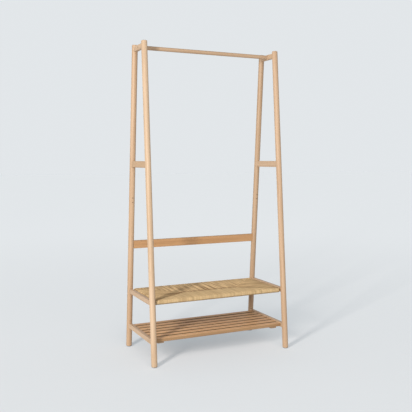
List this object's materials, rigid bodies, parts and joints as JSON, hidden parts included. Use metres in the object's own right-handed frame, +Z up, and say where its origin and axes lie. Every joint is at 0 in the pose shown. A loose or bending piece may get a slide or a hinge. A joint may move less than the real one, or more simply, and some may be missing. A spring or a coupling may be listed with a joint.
{
  "type": "clothes rack",
  "caption": "Free-standing wooden clothes rack: two A-shaped end frames of round legs carry a hanging bar, a back rail, a woven bench seat and a slatted shoe shelf.",
  "frame": {"origin": "on the floor, in the middle of the four feet", "axes": "+Z up, +X to the right along the hanging bar, -Y to the front, away from the back rail"},
  "size_m": [0.83, 0.4472, 1.7009],
  "materials": {
    "wood": "pale wood, matt lacquer",
    "cord": "twisted paper or rush cord",
    "steel": "yellow zinc plated",
    "glide": "grey, matt",
    "plug": "brown, matt"
  },
  "bodies": {
    "root": {"back_rail": "wood", "back_rail_bolts": "steel", "back_rail_nuts": "steel", "bar_bolts": "steel", "bar_inserts": "steel", "crossbar_left": "wood", "crossbar_right": "wood", "glide_back_left": "glide", "glide_back_right": "glide", "glide_front_left": "glide", "glide_front_right": "glide", "hanging_bar": "wood", "leg_back_left": "wood", "leg_back_right": "wood", "leg_front_left": "wood", "leg_front_right": "wood", "leg_plugs": "plug", "seat_bolts": "steel", "seat_frame_back": "wood", "seat_frame_front": "wood", "seat_frame_left": "wood", "seat_frame_right": "wood", "seat_nuts": "steel", "seat_rail_left": "wood", "seat_rail_right": "wood", "seat_spacers": "steel", "shelf_batten_left": "wood", "shelf_batten_right": "wood", "shelf_bolts": "steel", "shelf_inserts": "steel", "shelf_rail_left": "wood", "shelf_rail_right": "wood", "shelf_slat_1": "wood", "shelf_slat_2": "wood", "shelf_slat_3": "wood", "shelf_slat_4": "wood", "shelf_slat_5": "wood", "shelf_slat_6": "wood", "shelf_slat_7": "wood", "slat_screws": "steel", "top_rail_left": "wood", "top_rail_right": "wood", "woven_seat": "cord"}
  },
  "joints": []
}
